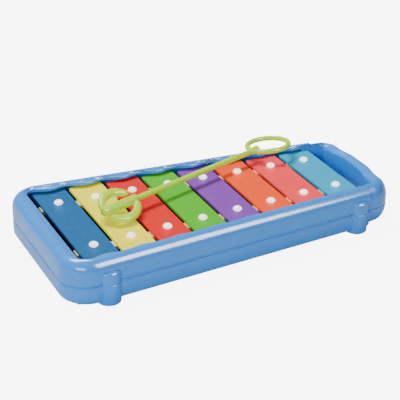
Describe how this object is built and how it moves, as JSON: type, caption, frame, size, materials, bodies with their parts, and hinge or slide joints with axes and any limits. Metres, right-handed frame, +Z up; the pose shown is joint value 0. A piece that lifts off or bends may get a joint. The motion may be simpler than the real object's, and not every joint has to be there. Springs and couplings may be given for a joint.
{
  "type": "toy xylophone",
  "caption": "Toy xylophone: coloured metal bars on a tapering blue plastic case with a carrying handle, and a loose green plastic mallet lying across it.",
  "frame": {"origin": "on the ground under the middle of the case's outline", "axes": "+X along the case towards the carrying handle, +Y towards the far side, where the mallet's finger loop lies, +Z up"},
  "size_m": [0.2764, 0.1416, 0.0471],
  "materials": {
    "case_plastic": "moulded, glossy",
    "tray_plastic": "matt black",
    "cushion_foam": "soft, matt",
    "bar_blue": "glossy enamel",
    "bar_yellow": "glossy enamel",
    "bar_red": "glossy enamel",
    "bar_green": "glossy enamel",
    "bar_purple": "glossy enamel",
    "bar_orange": "glossy enamel",
    "bar_salmon": "glossy enamel",
    "bar_cyan": "glossy enamel",
    "pin_plastic": "glossy white",
    "screw_steel": "zinc plated",
    "mallet_plastic": "glossy, slightly translucent"
  },
  "bodies": {
    "case": {"upper_shell": "case_plastic", "lower_shell": "case_plastic", "resonator_tray": "tray_plastic", "rear_cushion": "cushion_foam", "front_cushion": "cushion_foam", "rear_pins": "pin_plastic", "front_pins": "pin_plastic", "case_screws": "screw_steel", "tray_screws": "screw_steel"},
    "low_c": {"bar_c_blue": "bar_blue"},
    "note_d": {"bar_d_yellow": "bar_yellow"},
    "note_e": {"bar_e_red": "bar_red"},
    "note_f": {"bar_f_green": "bar_green"},
    "note_g": {"bar_g_purple": "bar_purple"},
    "note_a": {"bar_a_orange": "bar_orange"},
    "note_b": {"bar_b_salmon": "bar_salmon"},
    "high_c": {"bar_high_c_cyan": "bar_cyan"},
    "mallet": {"mallet_stick": "mallet_plastic", "mallet_head": "mallet_plastic", "mallet_loop": "mallet_plastic"}
  },
  "joints": [
    {"name": "low_c_play", "type": "slide", "parent": "case", "child": "low_c", "axis": [0, 0, 1], "range_m": [0, 0.0004]},
    {"name": "note_d_play", "type": "slide", "parent": "case", "child": "note_d", "axis": [0, 0, 1], "range_m": [0, 0.0004]},
    {"name": "note_e_play", "type": "slide", "parent": "case", "child": "note_e", "axis": [0, 0, 1], "range_m": [0, 0.0004]},
    {"name": "note_f_play", "type": "slide", "parent": "case", "child": "note_f", "axis": [0, 0, 1], "range_m": [0, 0.0004]},
    {"name": "note_g_play", "type": "slide", "parent": "case", "child": "note_g", "axis": [0, 0, 1], "range_m": [0, 0.0004]},
    {"name": "note_a_play", "type": "slide", "parent": "case", "child": "note_a", "axis": [0, 0, 1], "range_m": [0, 0.0004]},
    {"name": "note_b_play", "type": "slide", "parent": "case", "child": "note_b", "axis": [0, 0, 1], "range_m": [0, 0.0004]},
    {"name": "high_c_play", "type": "slide", "parent": "case", "child": "high_c", "axis": [0, 0, 1], "range_m": [0, 0.0004]},
    {"name": "mallet_lift", "type": "slide", "parent": "case", "child": "mallet", "axis": [0, 0, 1], "range_m": [0, 0.12]}
  ]
}
